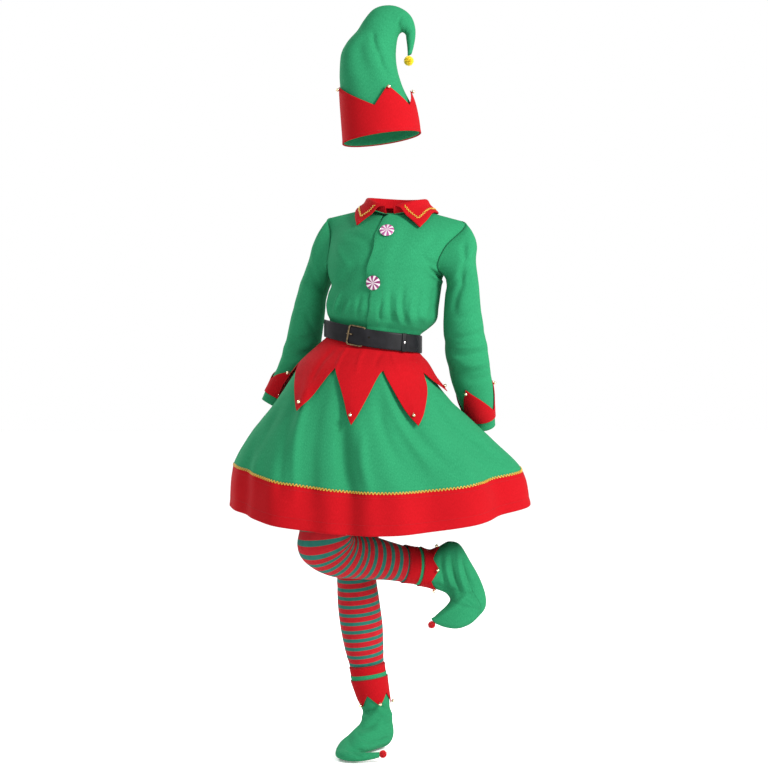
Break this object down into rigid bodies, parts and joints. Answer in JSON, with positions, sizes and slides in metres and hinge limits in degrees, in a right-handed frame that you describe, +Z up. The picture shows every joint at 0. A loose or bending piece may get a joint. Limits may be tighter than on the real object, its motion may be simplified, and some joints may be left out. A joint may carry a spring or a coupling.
{
  "type": "elf costume",
  "caption": "Belted elf dress with leaf overskirt, curled stocking hat, striped stockings and curled-toe boots, hollow in a worn one-legged pose",
  "frame": {"origin": "the middle of the neck between the shoulders, where the wearer carries the dress", "axes": "+X to the viewer's right when facing the front, +Y away from the front, +Z up"},
  "size_m": [0.7787, 0.5559, 1.9422],
  "materials": {
    "green_fleece": "short-napped green fleece",
    "red_cloth": "red fleece with a low nap",
    "gold_braid": "shiny gold wave braid",
    "yellow_wool": "fluffy yellow yarn",
    "red_wool": "fluffy red yarn",
    "striped_knit": "ribless knit in red and teal stripes",
    "belt_leather": "smooth black imitation leather",
    "antique_brass": "antique brass",
    "bell_metal": "polished bell metal",
    "rivet_steel": "bright rivet",
    "button_plastic": "glossy swirl of white and magenta"
  },
  "bodies": {
    "root": {"bodice_front_right": "green_fleece", "bodice_front_left": "green_fleece", "bodice_back": "green_fleece", "sleeve_left": "green_fleece", "sleeve_right": "green_fleece", "cuff_band_left": "green_fleece", "cuff_band_right": "green_fleece", "skirt_front": "green_fleece", "skirt_back": "green_fleece", "hat_crown_front": "green_fleece", "hat_crown_back": "green_fleece", "boot_upper_left": "green_fleece", "boot_upper_right": "green_fleece", "boot_sole_left": "green_fleece", "boot_sole_right": "green_fleece", "boot_lower_band_left": "green_fleece", "boot_lower_band_right": "green_fleece", "cuff_points_left": "red_cloth", "cuff_points_right": "red_cloth", "collar": "red_cloth", "hem_band_front": "red_cloth", "hem_band_back": "red_cloth", "peplum_front": "red_cloth", "peplum_back": "red_cloth", "hat_brim": "red_cloth", "boot_band_left": "red_cloth", "boot_band_right": "red_cloth", "boot_points_left": "red_cloth", "boot_points_right": "red_cloth", "collar_braid": "gold_braid", "hem_braid_front": "gold_braid", "hem_braid_back": "gold_braid", "belt_strap": "belt_leather", "belt_keeper": "belt_leather", "buckle_frame": "antique_brass", "buckle_prong": "antique_brass", "peplum_bell_1": "bell_metal", "peplum_bell_2": "bell_metal", "peplum_bell_3": "bell_metal", "peplum_bell_4": "bell_metal", "peplum_bell_5": "bell_metal", "peplum_bell_6": "bell_metal", "peplum_bell_7": "bell_metal", "peplum_bell_8": "bell_metal", "hat_bell_1": "bell_metal", "hat_bell_2": "bell_metal", "hat_bell_3": "bell_metal", "hat_bell_4": "bell_metal", "hat_bell_5": "bell_metal", "belt_rivet": "rivet_steel", "button_upper": "button_plastic", "button_lower": "button_plastic", "hat_pompom": "yellow_wool", "boot_pompom_left": "red_wool", "boot_pompom_right": "red_wool", "stocking_left": "striped_knit", "stocking_right": "striped_knit"}
  },
  "joints": []
}
